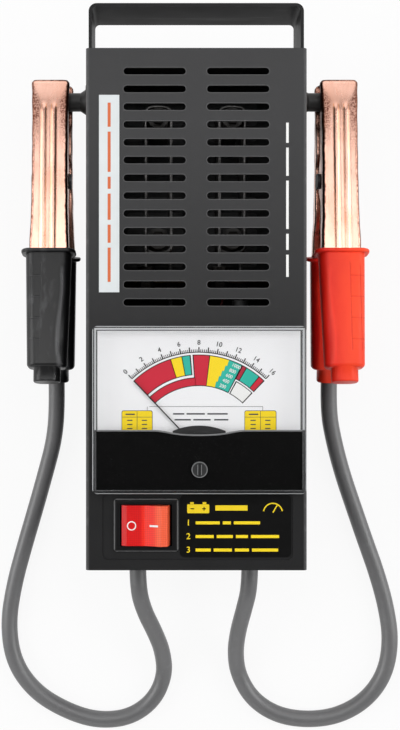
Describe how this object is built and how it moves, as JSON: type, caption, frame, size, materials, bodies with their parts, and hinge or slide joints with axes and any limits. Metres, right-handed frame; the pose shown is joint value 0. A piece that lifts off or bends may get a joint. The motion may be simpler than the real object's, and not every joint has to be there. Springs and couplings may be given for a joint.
{
  "type": "battery load tester",
  "caption": "Handheld battery load tester: slotted metal case with carrying handle, dial meter, rocker load switch and two leads ending in spring clamps stored on side posts.",
  "frame": {"origin": "under the middle of the case and handle, on the surface the back plate lies on", "axes": "+X to the right of the dial, +Y towards the carrying handle, +Z out of the dial"},
  "size_m": [0.2219, 0.383, 0.0895],
  "materials": {
    "case_paint": "satin",
    "strap_paint": "satin",
    "black_plastic": "matte",
    "clear_plastic": "clear, polished",
    "dial_paint": "matte",
    "zinc_steel": "zinc plated",
    "spring_steel": "bright",
    "heating_wire": "oxidised",
    "ceramic": "glazed",
    "laminate": "matte",
    "brass": "bright",
    "copper": "bright copper",
    "iron": "ground",
    "aluminium": "satin",
    "needle_paint": "black, matte",
    "red_plastic": "satin",
    "black_rubber": "satin",
    "red_rubber": "satin",
    "grey_rubber": "matte",
    "white_film": "satin film",
    "black_film": "satin film"
  },
  "bodies": {
    "case": {"front_shell": "case_paint", "rear_shell": "case_paint", "handle": "strap_paint", "handle_rivets": "strap_paint", "case_screws": "zinc_steel", "post_left": "black_plastic", "post_right": "black_plastic", "post_screws": "zinc_steel", "strip_label": "white_film", "instruction_label": "black_film", "meter_base": "black_plastic", "meter_cover": "clear_plastic", "meter_mask": "black_plastic", "dial_plate": "dial_paint", "meter_studs": "brass", "meter_nuts": "zinc_steel", "magnet": "iron", "core": "iron", "meter_bridge": "black_plastic", "hairspring": "spring_steel", "switch_housing": "black_plastic", "switch_blades": "brass", "return_leaf": "spring_steel", "load_coil_left": "heating_wire", "load_coil_right": "heating_wire", "coil_insulators": "ceramic", "insulator_studs": "zinc_steel", "terminal_board": "laminate", "terminal_bolts": "zinc_steel", "terminal_nuts": "zinc_steel", "bus_bar": "brass", "lead_grommets": "black_rubber", "lead_left": "grey_rubber", "lead_right": "grey_rubber", "lead_tail_left": "grey_rubber", "lead_tail_right": "grey_rubber", "switch_wire": "black_rubber", "meter_wire_left": "black_rubber", "meter_wire_right": "red_rubber", "left_clamp_rear_jaw": "copper", "left_clamp_rear_boot": "black_rubber", "left_clamp_pin": "copper", "left_clamp_spring": "spring_steel", "right_clamp_rear_jaw": "copper", "right_clamp_rear_boot": "red_rubber", "right_clamp_pin": "copper", "right_clamp_spring": "spring_steel"},
    "rocker": {"rocker": "red_plastic"},
    "needle": {"needle": "needle_paint", "moving_coil": "aluminium"},
    "zero_screw": {"zero_screw": "black_plastic"},
    "zero_lever": {"zero_lever": "brass"},
    "left_jaw": {"left_clamp_front_jaw": "copper", "left_clamp_front_boot": "black_rubber"},
    "right_jaw": {"right_clamp_front_jaw": "copper", "right_clamp_front_boot": "red_rubber"}
  },
  "joints": [
    {"name": "rocker_hinge", "type": "hinge", "parent": "case", "child": "rocker", "pos_m": [-0.025, -0.11875, 0.0742], "axis": [0, 1, 0], "range_deg": [0, 18], "stiffness_Nm_per_rad": 0.03, "springref_deg": -9.74, "deforming": ["return_leaf"]},
    {"name": "needle_hinge", "type": "hinge", "parent": "case", "child": "needle", "pos_m": [0.0011, -0.08095, 0.0806], "axis": [0, 0, -1], "range_deg": [0, 86.8], "stiffness_Nm_per_rad": 0.00002, "springref_deg": -5.16, "deforming": ["hairspring"]},
    {"name": "zero_screw_hinge", "type": "hinge", "parent": "case", "child": "zero_screw", "pos_m": [0.0011, -0.09015, 0.088], "axis": [0, 0, 1], "range_deg": [-40, 40]},
    {"name": "zero_lever_hinge", "type": "hinge", "parent": "case", "child": "zero_lever", "pos_m": [0.0011, -0.08095, 0.08], "axis": [0, 0, 1], "range_deg": [-6, 6], "deforming": ["hairspring"]},
    {"name": "left_clamp_hinge", "type": "hinge", "parent": "case", "child": "left_jaw", "pos_m": [-0.0752, 0.05795, 0.04], "axis": [1, 0, 0], "range_deg": [0, 21], "stiffness_Nm_per_rad": 0.8, "springref_deg": -20.05, "deforming": ["left_clamp_spring"]},
    {"name": "right_clamp_hinge", "type": "hinge", "parent": "case", "child": "right_jaw", "pos_m": [0.0752, 0.05795, 0.04], "axis": [1, 0, 0], "range_deg": [0, 21], "stiffness_Nm_per_rad": 0.8, "springref_deg": -20.05, "deforming": ["right_clamp_spring"]}
  ],
  "couplings": [
    {"joint": "zero_lever_hinge", "follows": "zero_screw_hinge", "ratio": -0.15}
  ]
}
